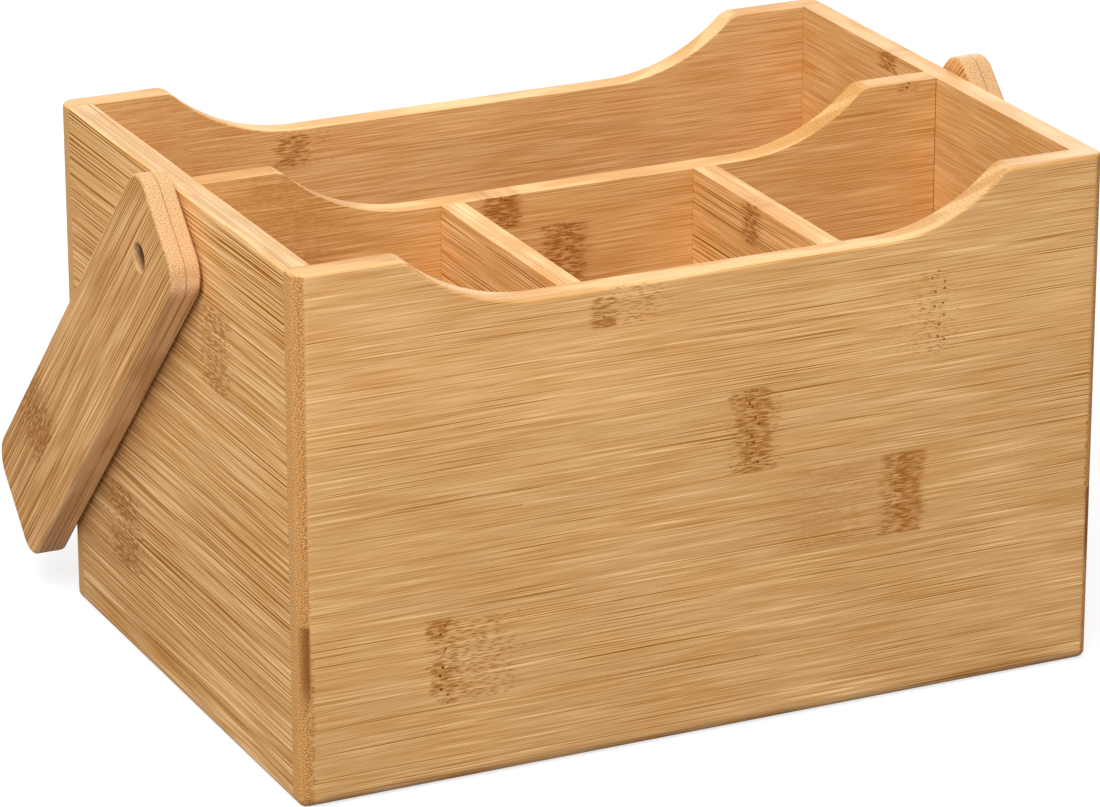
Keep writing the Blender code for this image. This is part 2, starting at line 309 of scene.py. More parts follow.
def make_side_wall(name, side, material):
    """Left or right panel: it stands between the front and the back panel."""
    half = INNER_DEPTH / 2
    bm = thickened(plain_face(half, 0, HEIGHT), BOARD)
    round_edges(bm, rim_edges(bm, -1, 0), FOOT_RADIUS, 5)
    round_edges(bm, rim_edges(bm, 1, 0), RIM_RADIUS, 4)
    slice_at(bm, [(-BOARD / 2, BOARD / 2)])
    round_edges(bm, upright_edges(bm, half, BOARD), CORNER_LINE, 2)
    round_edges(bm, rim_edges(bm, 1, BOARD, [(-BOARD / 2, BOARD / 2)]), INNER_RIM_EASE, 3)
    put(bm, (side * WIDTH / 2, 0, 0), side * math.pi / 2)
    bm = cut_away(bm, base_seat())
    return to_piece(name + "_board", bm, material, "box", [name])


def make_middle_divider(material):
    """The scooped board between the side panels; the cross dividers meet its front face."""
    half = INNER_WIDTH / 2
    bm = thickened(scooped_face(half, DIVIDER_FOOT), BOARD)
    spans = cross_divider_spans()
    slice_at(bm, spans)
    for side, joined in ((0, spans), (BOARD, ())):
        round_edges(bm, upright_edges(bm, half, side), CORNER_LINE, 2)
        round_edges(bm, rim_edges(bm, 1, side, joined), INNER_RIM_EASE, 3)
    put(bm, (0, -BOARD / 2, 0), 0)
    return to_piece("middle_divider_board", bm, material, "box", ["middle_divider"])


def make_cross_divider(name, left_face, material):
    """A short board between the front panel and the middle divider, as high as the scoop's floor."""
    front = -INNER_DEPTH / 2
    back = -BOARD / 2
    half = (back - front) / 2
    bm = thickened(plain_face(half, DIVIDER_FOOT, SCOOP_FLOOR), BOARD)
    for side in (0, BOARD):
        round_edges(bm, upright_edges(bm, half, side), CORNER_LINE, 2)
        round_edges(bm, rim_edges(bm, 1, side), INNER_RIM_EASE, 3)
    put(bm, (left_face, (front + back) / 2, 0), -math.pi / 2)
    return to_piece(name + "_board", bm, material, "box", [name])


def make_base(material):
    """The floor of the wells, in the walls' rebate."""
    seat_x = INNER_WIDTH / 2 + REBATE_DEPTH - GAP
    seat_y = INNER_DEPTH / 2 + REBATE_DEPTH - GAP
    bm = block((-seat_x, -seat_y, 0), (seat_x, seat_y, BASE_THICKNESS))
    bm.normal_update()
    round_edges(bm, bm.edges[:], BASE_EASE, 2)
    return to_piece("base_board", bm, material, "box", ["base_panel"])


def turned(points, steps):
    """Spin a profile of (x, radius) points about the X axis."""
    bm = bmesh.new()
    verts = [bm.verts.new((x, 0, radius)) for x, radius in points]
    edges = [bm.edges.new(pair) for pair in zip(verts, verts[1:])]
    bmesh.ops.spin(bm, geom=verts + edges, cent=(0, 0, 0), axis=(1, 0, 0), dvec=(0, 0, 0),
                   angle=2 * math.pi, steps=steps, use_merge=True, use_duplicate=False)
    bmesh.ops.remove_doubles(bm, verts=bm.verts, dist=NEAR / 10)
    return bm


def make_arm(name, side, material):
    """A flat arm with rounded corners, drawn hanging down, counterbored, then swung to its rest."""
    low, high = -GRIP_REACH - GRIP_TO_ARM_END, PIVOT_TO_ARM_END
    bm = thickened(plain_face(ARM_WIDTH / 2, low, high), ARM_THICKNESS)
    corners = [e for e in bm.edges if abs(e.verts[0].co.y - e.verts[1].co.y) > NEAR]
    round_edges(bm, corners, ARM_CORNER_RADIUS, 14)
    rims = [e for e in bm.edges if abs(e.verts[0].co.y - e.verts[1].co.y) < NEAR]
    round_edges(bm, rims, ARM_EDGE_RADIUS, 4)
    hole = turned([(-COUNTERBORE_DEPTH, 0), (-COUNTERBORE_DEPTH, COUNTERBORE_DIAMETER / 2),
                   (COUNTERBORE_DEPTH, COUNTERBORE_DIAMETER / 2), (COUNTERBORE_DEPTH, 0)], ROUND_STEPS)
    bmesh.ops.rotate(hole, verts=hole.verts, matrix=Matrix.Rotation(math.pi / 2, 3, "Z"))
    bm = cut_away(bm, hole)
    mouth = [e for e in bm.edges if all(abs(v.co.y) < NEAR for v in e.verts)
             and all(math.hypot(v.co.x, v.co.z) < COUNTERBORE_DIAMETER * 0.52 for v in e.verts)]
    round_edges(bm, mouth, HOLE_EASE, 3)
    bmesh.ops.rotate(bm, verts=bm.verts, matrix=Matrix.Rotation(side * math.pi / 2, 3, "Z"))
    bmesh.ops.translate(bm, verts=bm.verts, vec=(side * ARM_OUTER_X, 0, 0))
    swing(bm)
    return to_piece(name + "_board", bm, material, "handle", [name])


def swing(bm):
    """Turn what hangs under the pivot to the folded position."""
    turn = Matrix.Rotation(HANDLE_REST_ANGLE, 3, "X")
    bmesh.ops.rotate(bm, verts=bm.verts, cent=(0, 0, 0), matrix=turn)
    bmesh.ops.translate(bm, verts=bm.verts, vec=(0, 0, PIVOT_HEIGHT))


def make_grip(material):
    """The round bar between the arms, its two ends eased."""
    half = ARM_INNER_X - GAP
    radius = GRIP_DIAMETER / 2
    bm = turned([(-half, 0), (-half, radius), (half, radius), (half, 0)], 2 * ROUND_STEPS)
    bm.normal_update()
    rims = [e for e in bm.edges if all(abs(abs(v.co.x) - half) < NEAR for v in e.verts)
            and all(v.co.yz.length > radius - NEAR for v in e.verts)]
    round_edges(bm, rims, GRIP_END_RADIUS, 4)
    bmesh.ops.translate(bm, verts=bm.verts, vec=(0, 0, -GRIP_REACH))
    swing(bm)
    return to_piece("grip_rod", bm, material, "handle", ["grip_bar"])


def make_screw(name, side, material):
    """A pan head with a cross recess at the bottom of its counterbore; its shank stays out of sight."""
    head = SCREW_HEAD_DIAMETER / 2
    seat = ARM_OUTER_X - COUNTERBORE_DEPTH + GAP
    top = seat + SCREW_HEAD_HEIGHT
    profile = [(seat - SHANK_TIP, 0), (seat - SHANK_TAPER, SHANK_RADIUS), (seat, SHANK_RADIUS),
               (seat, head), (top - HEAD_WALL, head), (top - HEAD_CROWN, head * HEAD_CROWN_RIM),
               (top, head * HEAD_CROWN_FLAT), (top, 0)]
    bm = turned(profile, ROUND_STEPS)
    for turn in (0.0, math.pi / 2):
        slot = block((top - RECESS_DEPTH, -RECESS_HALF_LENGTH, -RECESS_HALF_WIDTH),
                     (top + RECESS_DEPTH, RECESS_HALF_LENGTH, RECESS_HALF_WIDTH))
        bmesh.ops.rotate(slot, verts=slot.verts, matrix=Matrix.Rotation(turn + RECESS_TURN, 3, "X"))
        bm = cut_away(bm, slot)
    bmesh.ops.scale(bm, verts=bm.verts, vec=(side, 1, 1))
    bmesh.ops.translate(bm, verts=bm.verts, vec=(0, 0, PIVOT_HEIGHT))
    return to_piece(name + "_steel", bm, material, "box", [name])


def make_washer(name, side, material):
    """A thin ring between the side panel and the arm."""
    start = side * (WIDTH / 2 + GAP)
    end = start + side * WASHER_THICKNESS
    inner, outer, ease = WASHER_BORE_RADIUS, WASHER_DIAMETER / 2, side * WASHER_EASE
    profile = [(start, inner), (start, outer - WASHER_EASE), (start + ease, outer), (end - ease, outer),
               (end, outer - WASHER_EASE), (end, inner), (start, inner)]
    bm = turned(profile, 64)
    bmesh.ops.translate(bm, verts=bm.verts, vec=(0, 0, PIVOT_HEIGHT))
    return to_piece(name + "_ring", bm, material, "box", [name])


# Shader building. Lengths inside the bamboo groups are in millimetres.

# Colours that all bamboo boards share
# pale colour of the painted highlight on sawn edges
SAWN_HIGHLIGHT = (0.93, 0.62, 0.32, 1)
CANE_SKIN = (0.27, 0.10, 0.025, 1)
FIBRE_END = (0.22, 0.08, 0.02, 1)
GLUE = (0.18, 0.07, 0.02, 1)
# painted shade for the wall of the arm's bore
BORE_SHADE = (0.09, 0.035, 0.01, 1)
KNUCKLE_FLECK = (0.80, 0.47, 0.20, 1)
KNUCKLE_DASH = (0.32, 0.10, 0.005, 1)
KNUCKLE_PORE = (0.15, 0.035, 0.0, 1)
CORNER_SHADE = (0.10, 0.04, 0.012, 1)

# Strips that the boards are glued from, and the place of something that a board hasn't got
STRIP_HEIGHT = 27.5
FIRST_SEAM = 24.5
NOWHERE = -1000.0


def add(tree, kind, inputs=None, **settings):
    """Add a shader node. An input given as a socket is linked, and any other is set."""
    made = tree.nodes.new("ShaderNode" + kind)
    for name, value in settings.items():
        setattr(made, name, value)
    for key, value in (inputs or {}).items():
        if isinstance(value, bpy.types.NodeSocket):
            tree.links.new(value, made.inputs[key])
        else:
            made.inputs[key].default_value = value
    return made


def maths(tree, operation, *values, clamp=False):
    """One step of arithmetic on sockets and numbers."""
    return add(tree, "Math", dict(enumerate(values)), operation=operation, use_clamp=clamp).outputs[0]


def scaled(tree, vector, scale):
    """A vector times another, axis by axis."""
    return add(tree, "VectorMath", {0: vector, 1: scale}, operation="MULTIPLY").outputs[0]


def ramped(tree, value, start, end, low=0.0, high=1.0):
    """Ease a value from low to high as it runs from start to end."""
    inputs = {"Value": value, "From Min": start, "From Max": end, "To Min": low, "To Max": high}
    return add(tree, "MapRange", inputs, interpolation_type="SMOOTHSTEP").outputs[0]


def mixed(tree, factor, a, b, blend="MIX"):
    """Colour a, with colour b over it by a factor."""
    made = add(tree, "Mix", {0: factor, 6: a, 7: b}, data_type="RGBA", blend_type=blend)
    return made.outputs[2]


def flat(tree, along_grain, across_grain, scale):
    """A two-way coordinate for a texture, scaled to cycles per millimetre."""
    return scaled(tree, add(tree, "CombineXYZ", {0: along_grain, 1: across_grain}).outputs[0], (*scale, 0.0))


def noise(tree, vector, detail=2.0, roughness=0.5, ways="2D"):
    """Fractal noise from 0 to 1, flat or in space."""
    inputs = {"Vector": vector, "Scale": 1.0, "Detail": detail, "Roughness": roughness}
    return add(tree, "TexNoise", inputs, noise_dimensions=ways).outputs[0]


def cells(tree, vector):
    """Flat cells, with the distance to each one's point and a colour of its own."""
    return add(tree, "TexVoronoi", {"Vector": vector, "Scale": 1.0}, feature="F1", voronoi_dimensions="2D")


def new_group(name, inputs, outputs):
    """A shader group: its inputs are (label, type, value) and its outputs (label, type)."""
    tree = bpy.data.node_groups.new(name, "ShaderNodeTree")
    for label, kind, value in inputs:
        socket = tree.interface.new_socket(name=label, in_out="INPUT", socket_type="NodeSocket" + kind)
        socket.default_value = value
    for label, kind in outputs:
        tree.interface.new_socket(name=label, in_out="OUTPUT", socket_type="NodeSocket" + kind)
    return tree, tree.nodes.new("NodeGroupInput").outputs, tree.nodes.new("NodeGroupOutput").inputs


def strips_group():
    """Boards glued from strips: each strip has its own tone and its own piece of the grain."""
    tree, given, out = new_group(
        "Glued strips",
        [("Vector", "Vector", (0, 0, 0)), ("Strip height", "Float", STRIP_HEIGHT),
         ("First seam", "Float", FIRST_SEAM), ("Seed", "Float", 0.0)],
        [("Vector", "Vector"), ("Tone", "Float"), ("Seam", "Float")])
    parts = add(tree, "SeparateXYZ", {0: given["Vector"]}).outputs
    height = maths(tree, "SUBTRACT", parts[2], given["First seam"])
    height = maths(tree, "DIVIDE", height, given["Strip height"])
    index = maths(tree, "FLOOR", height)
    place = maths(tree, "FRACT", height)
    key = maths(tree, "MULTIPLY_ADD", index, 7.31, given["Seed"])
    random = add(tree, "TexWhiteNoise", {"W": key}, noise_dimensions="1D")
    shift = scaled(tree, random.outputs["Color"], (900.0, 40.0, 60.0))
    moved = add(tree, "VectorMath", {0: given["Vector"], 1: shift}, operation="ADD").outputs[0]
    off_seam = maths(tree, "MULTIPLY", maths(tree, "PINGPONG", place, 0.5), given["Strip height"])
    tree.links.new(moved, out["Vector"])
    tree.links.new(random.outputs["Value"], out["Tone"])
    tree.links.new(ramped(tree, off_seam, 0.05, 0.3, 1.0, 0.0), out["Seam"])
    return tree


def fibres_group():
    """Bamboo fibres along X: dark threads with pale rims of painted highlight, the grain between them, and
    dots for the ends.
    """
    tree, given, out = new_group(
        "Bamboo fibres",
        [("Vector", "Vector", (0, 0, 0)), ("Length", "Float", 100.0), ("Spacing", "Float", 0.6),
         ("Thickness", "Float", 0.36), ("Waviness", "Float", 0.7)],
        [("Threads", "Float"), ("Highlight rims", "Float"), ("Grain", "Float"), ("Patches", "Float"),
         ("Dots", "Float")])
    parts = add(tree, "SeparateXYZ", {0: given["Vector"]}).outputs
    across = maths(tree, "ADD", parts[1], parts[2])
    sway = noise(tree, flat(tree, parts[0], across, (0.014, 0.05)), detail=1.0)
    across = maths(tree, "MULTIPLY_ADD", sway, given["Waviness"], across)
    lengths = maths(tree, "DIVIDE", parts[0], given["Length"])
    rows = maths(tree, "DIVIDE", across, given["Spacing"])
    found = cells(tree, add(tree, "CombineXYZ", {0: lengths, 1: rows}).outputs[0])
    strength = add(tree, "SeparateColor", {0: found.outputs["Color"]}).outputs[0]
    crowd = noise(tree, flat(tree, parts[0], across, (0.01, 0.13)), detail=2.0)
    strength = maths(tree, "MULTIPLY", ramped(tree, strength, 0.1, 1.0, 0.05, 1.0),
                     ramped(tree, crowd, 0.40, 0.62, 0.72, 1.0))
    fade = noise(tree, flat(tree, lengths, across, (2.4, 0.8)), detail=1.0)
    strength = maths(tree, "MULTIPLY", strength, ramped(tree, fade, 0.38, 0.62, 0.25, 1.0))
    reach = maths(tree, "DIVIDE", found.outputs["Distance"], given["Thickness"])
    core = ramped(tree, reach, 0.6, 1.0, 1.0, 0.0)
    tree.links.new(maths(tree, "MULTIPLY", core, strength), out["Threads"])
    # pale rim around each thread: painted highlight of a groove's lit lip
    rim = maths(tree, "MULTIPLY", ramped(tree, reach, 0.9, 1.2), ramped(tree, reach, 1.2, 1.8, 1.0, 0.0))
    tree.links.new(maths(tree, "MULTIPLY", rim, strength), out["Highlight rims"])
    fine = noise(tree, flat(tree, lengths, across, (3.6, 2.2)), detail=1.0, roughness=0.7)
    tree.links.new(fine, out["Grain"])
    tree.links.new(noise(tree, flat(tree, parts[0], across, (0.03, 0.12)), detail=1.0), out["Patches"])
    specks = cells(tree, flat(tree, parts[1], parts[2], (2.4, 2.4)))
    tree.links.new(ramped(tree, specks.outputs["Distance"], 0.2, 0.52, 1.0, 0.0), out["Dots"])
    return tree


def knuckle_group():
    """One growth ring of the cane, inside a strip, or, broad and fully feathered, a patch of painted shade.

    It adds its masks for stain, dashes and pores to those that come in.
    """
    tree, given, out = new_group(
        "Cane knuckle",
        [("Masks", "Vector", (0, 0, 0)), ("Vector", "Vector", (0, 0, 0)), ("Ragged", "Float", 0.0),
         ("Centre", "Vector", (0, 0, 0)), ("Half length", "Float", 7.0), ("Half height", "Float", 13.7),
         ("Feather", "Float", 0.5), ("Strengths", "Vector", (1, 1, 1))],
        [("Masks", "Vector")])
    apart = add(tree, "VectorMath", {0: given["Vector"], 1: given["Centre"]}, operation="SUBTRACT").outputs[0]
    parts = add(tree, "SeparateXYZ", {0: apart}).outputs
    across = maths(tree, "ABSOLUTE", maths(tree, "DIVIDE", parts[0], given["Half length"]))
    ragged = maths(tree, "ADD", across, given["Ragged"])
    up = maths(tree, "ABSOLUTE", maths(tree, "DIVIDE", parts[2], given["Half height"]))
    up = ramped(tree, up, 0.9, 1.0, 1.0, 0.0)
    solid = maths(tree, "SUBTRACT", 1.0, given["Feather"])
    body = maths(tree, "MULTIPLY", ramped(tree, ragged, solid, 1.0, 1.0, 0.0), up)
    middle = maths(tree, "MULTIPLY", ramped(tree, across, 0.22, 0.36, 1.0, 0.0), up)
    own = add(tree, "CombineXYZ", {0: body, 1: body, 2: middle}).outputs[0]
    own = add(tree, "VectorMath", {0: given["Strengths"], 1: own}, operation="MULTIPLY").outputs[0]
    total = add(tree, "VectorMath", {0: given["Masks"], 1: own}, operation="ADD").outputs[0]
    tree.links.new(total, out["Masks"])
    return tree


def bamboo_group(strips, fibres):
    """The whole look of a bamboo board: X along the grain, Y through the board, Z across it."""
    tree, given, out = new_group(
        "Bamboo board",
        [("Vector", "Vector", (0, 0, 0)), ("Masks", "Vector", (0, 0, 0)), ("End", "Float", 0.0),
         ("Edge", "Float", 0.0), ("Seed", "Float", 0.0), ("Strip height", "Float", STRIP_HEIGHT),
         ("First seam", "Float", FIRST_SEAM), ("Light", "Color", (0.73, 0.41, 0.165, 1)),
         ("Warm", "Color", (0.70, 0.36, 0.125, 1)), ("Thread colour", "Color", (0.37, 0.14, 0.015, 1)),
         ("Stain and shade colour", "Color", (0.38, 0.13, 0.018, 1)), ("Pale line", "Color", (0.95, 0.61, 0.29, 1)),
         ("Dark line", "Color", (0.46, 0.185, 0.02, 1)), ("Edge colour", "Color", (0.75, 0.46, 0.20, 1)),
         ("End colour", "Color", (0.84, 0.445, 0.15, 1)), ("Thread strength", "Float", 1.0),
         ("Thread spacing", "Float", 0.6), ("Thread length", "Float", 100.0),
         ("Thread thickness", "Float", 0.36), ("Grain strength", "Float", 0.7),
         ("Dot strength", "Float", 0.8), ("Skin", "Float", 1.0), ("Dark strip top", "Float", NOWHERE),
         ("Glue line", "Float", NOWHERE), ("Bore radius", "Float", 0.0), ("Groove", "Float", 0.0),
         ("Low tone", "Float", 1.0), ("High tone", "Float", 1.0)],
        [("Color", "Color"), ("Roughness", "Float"), ("Coat", "Float"), ("Height", "Float")])
    glued = tree.nodes.new("ShaderNodeGroup")
    glued.node_tree = strips
    for label in ("Vector", "Strip height", "First seam", "Seed"):
        tree.links.new(given[label], glued.inputs[label])
    grain = glued.outputs["Vector"]
    threads = tree.nodes.new("ShaderNodeGroup")
    threads.node_tree = fibres
    tree.links.new(grain, threads.inputs["Vector"])
    for label in ("Spacing", "Length", "Thickness"):
        tree.links.new(given["Thread " + label.lower()], threads.inputs[label])
    thread, rim, fine, patch, dot = threads.outputs
    parts = add(tree, "SeparateXYZ", {0: given["Vector"]}).outputs

    # Ground colour: broad patches and a tone for each strip, times painted shade and painted light that
    # change from foot to top
    colour = mixed(tree, ramped(tree, patch, 0.35, 0.7), given["Light"], given["Warm"])
    strip_tone = ramped(tree, glued.outputs["Tone"], 0.0, 1.0, 0.97, 1.03)
    # painted shade towards a board's foot and painted light towards its top, by height
    painted_height_light = ramped(tree, parts[2], 0.0, 150.0, given["Low tone"], given["High tone"])
    tone = maths(tree, "MULTIPLY", strip_tone, painted_height_light)
    tone = add(tree, "CombineXYZ", {0: tone, 1: tone, 2: tone}).outputs[0]
    colour = mixed(tree, 1.0, colour, tone, "MULTIPLY")

    # Sawn edges, with darker patches of their own and paler ones that are painted highlight
    darker = maths(tree, "MULTIPLY", ramped(tree, patch, 0.42, 0.62), 0.4)
    sawn = mixed(tree, darker, given["Edge colour"], given["Dark line"])
    painted_highlight = maths(tree, "MULTIPLY", ramped(tree, patch, 0.5, 0.38), 0.35)
    sawn = mixed(tree, painted_highlight, sawn, SAWN_HIGHLIGHT)
    colour = mixed(tree, maths(tree, "MULTIPLY", given["Edge"], 0.85), colour, sawn)
    on_face = maths(tree, "SUBTRACT", 1.0, maths(tree, "MULTIPLY", given["Edge"], 0.55))
    on_face = maths(tree, "MULTIPLY", on_face, maths(tree, "SUBTRACT", 1.0, given["End"]))

    # Brown staining of the knuckles and broad patches of painted shade, which lie under the fibres
    face_marks = add(tree, "VectorMath", {0: given["Masks"], "Scale": on_face}, operation="SCALE").outputs[0]
    masks = add(tree, "SeparateXYZ", {0: face_marks}).outputs
    cloud = noise(tree, flat(tree, parts[0], parts[2], (0.3, 1.1)), detail=3.0, roughness=0.65)
    stain_and_shade = maths(tree, "MULTIPLY", masks[0], ramped(tree, cloud, 0.35, 0.62, 0.45, 1.0))
    colour = mixed(tree, stain_and_shade, colour, given["Stain and shade colour"])

    # Grain and fibres
    clear = maths(tree, "MULTIPLY", on_face, ramped(tree, stain_and_shade, 0.0, 1.0, 1.0, 0.35))
    contrast = maths(tree, "MULTIPLY", given["Grain strength"], clear)
    pale = maths(tree, "MULTIPLY", ramped(tree, fine, 0.48, 0.34), contrast)
    dark = maths(tree, "MULTIPLY", ramped(tree, fine, 0.52, 0.68), contrast)
    strength = maths(tree, "MULTIPLY", given["Thread strength"], clear)
    colour = mixed(tree, pale, colour, given["Pale line"])
    colour = mixed(tree, dark, colour, given["Dark line"])
    # pale rims around the threads are painted highlight
    colour = mixed(tree, maths(tree, "MULTIPLY", rim, strength), colour, given["Pale line"])
    fibre = maths(tree, "MULTIPLY", thread, strength)
    colour = mixed(tree, fibre, colour, given["Thread colour"])

    # Ends of the cane: dots on a browner ground, darkest near the skin of the cane and in one strip
    skin = maths(tree, "MULTIPLY", ramped(tree, parts[1], 4.0, 0.3), given["Skin"])
    under = maths(tree, "SUBTRACT", given["Dark strip top"], parts[2])
    under = maths(tree, "DIVIDE", under, given["Strip height"])
    dark_strip = maths(tree, "MULTIPLY", ramped(tree, under, 0.0, 0.04),
                       ramped(tree, under, 0.6, 1.05, 1.0, 0.0))
    skin = maths(tree, "MULTIPLY", skin, maths(tree, "MULTIPLY_ADD", dark_strip, 0.65, 0.35))
    off_rim = maths(tree, "SUBTRACT", 1.0, given["Edge"])
    colour = mixed(tree, maths(tree, "MULTIPLY", given["End"], off_rim), colour, given["End colour"])
    skin = maths(tree, "MULTIPLY", skin, off_rim)
    colour = mixed(tree, maths(tree, "MULTIPLY", skin, given["End"]), colour, CANE_SKIN)
    dots = maths(tree, "MULTIPLY", maths(tree, "MULTIPLY", dot, given["End"]), given["Dot strength"])
    dots = maths(tree, "MULTIPLY", dots, maths(tree, "MULTIPLY_ADD", off_rim, 0.5, 0.5))
    colour = mixed(tree, dots, colour, FIBRE_END)

    # Glue line half-way through a board, seen on its ends and edges
    off_line = maths(tree, "ABSOLUTE", maths(tree, "SUBTRACT", parts[1], given["Glue line"]))
    cut = maths(tree, "MAXIMUM", given["End"], given["Edge"])
    line = maths(tree, "MULTIPLY", ramped(tree, off_line, 0.1, 0.3, 1.0, 0.0), cut)
    colour = mixed(tree, maths(tree, "MULTIPLY", line, 0.5), colour, GLUE)

    # Painted shade on the wall of a hole bored at the board's own centre point, darker deeper into the hole
    flattened = scaled(tree, given["Vector"], (1.0, 0.0, 1.0))
    from_axis = add(tree, "VectorMath", {0: flattened}, operation="LENGTH")
    bored = maths(tree, "LESS_THAN", from_axis.outputs["Value"], given["Bore radius"])
    bored = maths(tree, "MULTIPLY", bored, ramped(tree, parts[1], 0.5, 3.0))
    colour = mixed(tree, maths(tree, "MULTIPLY", bored, 0.85), colour, BORE_SHADE)

    # Knuckles: short wavy dashes with pale flecks between them, and a few dark pores
    wave = noise(tree, flat(tree, parts[0], parts[2], (0.16, 0.3)), detail=1.0)
    wavy = maths(tree, "MULTIPLY_ADD", wave, 1.5, parts[2])
    dash = cells(tree, flat(tree, parts[0], wavy, (0.24, 1.7))).outputs["Distance"]
    strong = maths(tree, "MINIMUM", masks[1], 1.0)
    fleck = maths(tree, "MULTIPLY", ramped(tree, dash, 0.5, 0.7), strong)
    colour = mixed(tree, maths(tree, "MULTIPLY", fleck, 0.4), colour, KNUCKLE_FLECK)
    far = maths(tree, "MULTIPLY", strong, 0.42)
    dash = ramped(tree, dash, maths(tree, "SUBTRACT", far, 0.18), far, 1.0, 0.0)
    dash = maths(tree, "MULTIPLY", dash, ramped(tree, strong, 0.02, 0.6))
    colour = mixed(tree, maths(tree, "MULTIPLY", dash, 0.7), colour, KNUCKLE_DASH)
    pore = cells(tree, flat(tree, parts[0], parts[2], (0.31, 0.31)))
    pore = maths(tree, "MULTIPLY", masks[2], ramped(tree, pore.outputs["Distance"], 0.08, 0.18, 1.0, 0.0))
    colour = mixed(tree, maths(tree, "MULTIPLY", pore, 0.85), colour, KNUCKLE_PORE)

    # Painted shade in the corners where two boards meet, a dark line on the eased edges that turn towards the
    # board's end
    groove = maths(tree, "MULTIPLY", maths(tree, "MULTIPLY", given["End"], given["Groove"]),
                   ramped(tree, given["Edge"], 0.0, 0.1, 1.0, 0.0))
    colour = mixed(tree, maths(tree, "MULTIPLY", groove, 0.85), colour, CORNER_SHADE)

    # Seams between strips, then the surface
    colour = mixed(tree, maths(tree, "MULTIPLY", glued.outputs["Seam"], 0.25), colour, given["Thread colour"])
    marks = maths(tree, "MULTIPLY_ADD", dark, 0.5, maths(tree, "MULTIPLY", fibre, 0.7), clamp=True)
    tree.links.new(colour, out["Color"])
    tree.links.new(maths(tree, "MULTIPLY_ADD", marks, 0.14, 0.52), out["Roughness"])
    tree.links.new(maths(tree, "MULTIPLY", given["Edge"], 0.3), out["Coat"])
    tree.links.new(maths(tree, "SUBTRACT", 1.0, marks), out["Height"])
    return tree


GROUPS = {}
GROUPS["strips"] = strips_group()
GROUPS["fibres"] = fibres_group()
GROUPS["knuckle"] = knuckle_group()
GROUPS["bamboo"] = bamboo_group(GROUPS["strips"], GROUPS["fibres"])


def board_axes(grain, across):
    """Turn of a board, as a Mapping node takes it, from the directions along and across its grain."""
    grain, across = Vector(grain).normalized(), Vector(across).normalized()
    through = across.cross(grain)
    return Matrix((grain, through, across)).transposed().to_euler()


def bamboo(name, origin, grain, across, seed, knuckles=(), bump=0.03, **look):
    """A bamboo material laid along one board.

    Each knuckle is (x, z, half length, half height, feather, (stain, dashes, pores)), in millimetres from
    the board's origin. The look gives values for the sockets of the group Bamboo board.
    """
    material = bpy.data.materials.new(name)
    material.use_nodes = True
    tree = material.node_tree
    shader = tree.nodes["Principled BSDF"]
    coordinates = add(tree, "TexCoord")
    place = add(tree, "Mapping", {"Vector": coordinates.outputs["Object"], "Location": origin,
                                  "Rotation": board_axes(grain, across), "Scale": (0.001, 0.001, 0.001)},
                vector_type="TEXTURE").outputs[0]
    facing = {}
    for label, direction, start, full in (("End", grain, 0.15, 0.5), ("Edge", across, 0.45, 0.85)):
        vectors = {0: coordinates.outputs["Normal"], 1: Vector(direction).normalized()}
        turned_to = add(tree, "VectorMath", vectors, operation="DOT_PRODUCT").outputs["Value"]
        facing[label] = ramped(tree, maths(tree, "ABSOLUTE", turned_to), start, full)
    masks = None
    if knuckles:
        edge = noise(tree, scaled(tree, place, (0.05, 0.0, 0.7)), detail=2.0, ways="3D")
        edge = maths(tree, "MULTIPLY_ADD", edge, 1.3, -0.65)
    for x, z, half_length, half_height, feather, strengths in knuckles:
        ring = tree.nodes.new("ShaderNodeGroup")
        ring.node_tree = GROUPS["knuckle"]
        tree.links.new(place, ring.inputs["Vector"])
        tree.links.new(edge, ring.inputs["Ragged"])
        ring.inputs["Centre"].default_value = (x, 0, z)
        ring.inputs["Half length"].default_value = half_length
        ring.inputs["Half height"].default_value = half_height
        ring.inputs["Feather"].default_value = feather
        ring.inputs["Strengths"].default_value = strengths
        if masks:
            tree.links.new(masks, ring.inputs["Masks"])
        masks = ring.outputs["Masks"]
    board = tree.nodes.new("ShaderNodeGroup")
    board.node_tree = GROUPS["bamboo"]
    tree.links.new(place, board.inputs["Vector"])
    for label, socket in facing.items():
        tree.links.new(socket, board.inputs[label])
    if masks:
        tree.links.new(masks, board.inputs["Masks"])
    board.inputs["Seed"].default_value = seed
    for label, value in look.items():
        board.inputs[label.replace("_", " ")].default_value = value
    relief = add(tree, "Bump", {"Height": board.outputs["Height"], "Strength": bump, "Distance": 0.0002})
    tree.links.new(board.outputs["Color"], shader.inputs["Base Color"])
    tree.links.new(board.outputs["Roughness"], shader.inputs["Roughness"])
    tree.links.new(board.outputs["Coat"], shader.inputs["Coat Weight"])
    tree.links.new(relief.outputs[0], shader.inputs["Normal"])
    shader.inputs["Specular IOR Level"].default_value = 0.1
    shader.inputs["Coat Roughness"].default_value = 0.3
    return material


def steel(name):
    """Brushed steel of the screws."""
    material = bpy.data.materials.new(name)
    material.use_nodes = True
    tree = material.node_tree
    shader = tree.nodes["Principled BSDF"]
    place = add(tree, "TexCoord").outputs["Object"]
    scratches = noise(tree, scaled(tree, place, (900.0, 900.0, 4000.0)), detail=3.0, ways="3D")
    colour = mixed(tree, scratches, (0.50, 0.49, 0.47, 1), (0.66, 0.65, 0.62, 1))
    tree.links.new(colour, shader.inputs["Base Color"])
    tree.links.new(ramped(tree, scratches, 0.3, 0.7, 0.24, 0.42), shader.inputs["Roughness"])
    relief = add(tree, "Bump", {"Height": scratches, "Strength": 0.1, "Distance": 0.0001})
    tree.links.new(relief.outputs[0], shader.inputs["Normal"])
    shader.inputs["Metallic"].default_value = 1.0
    return material


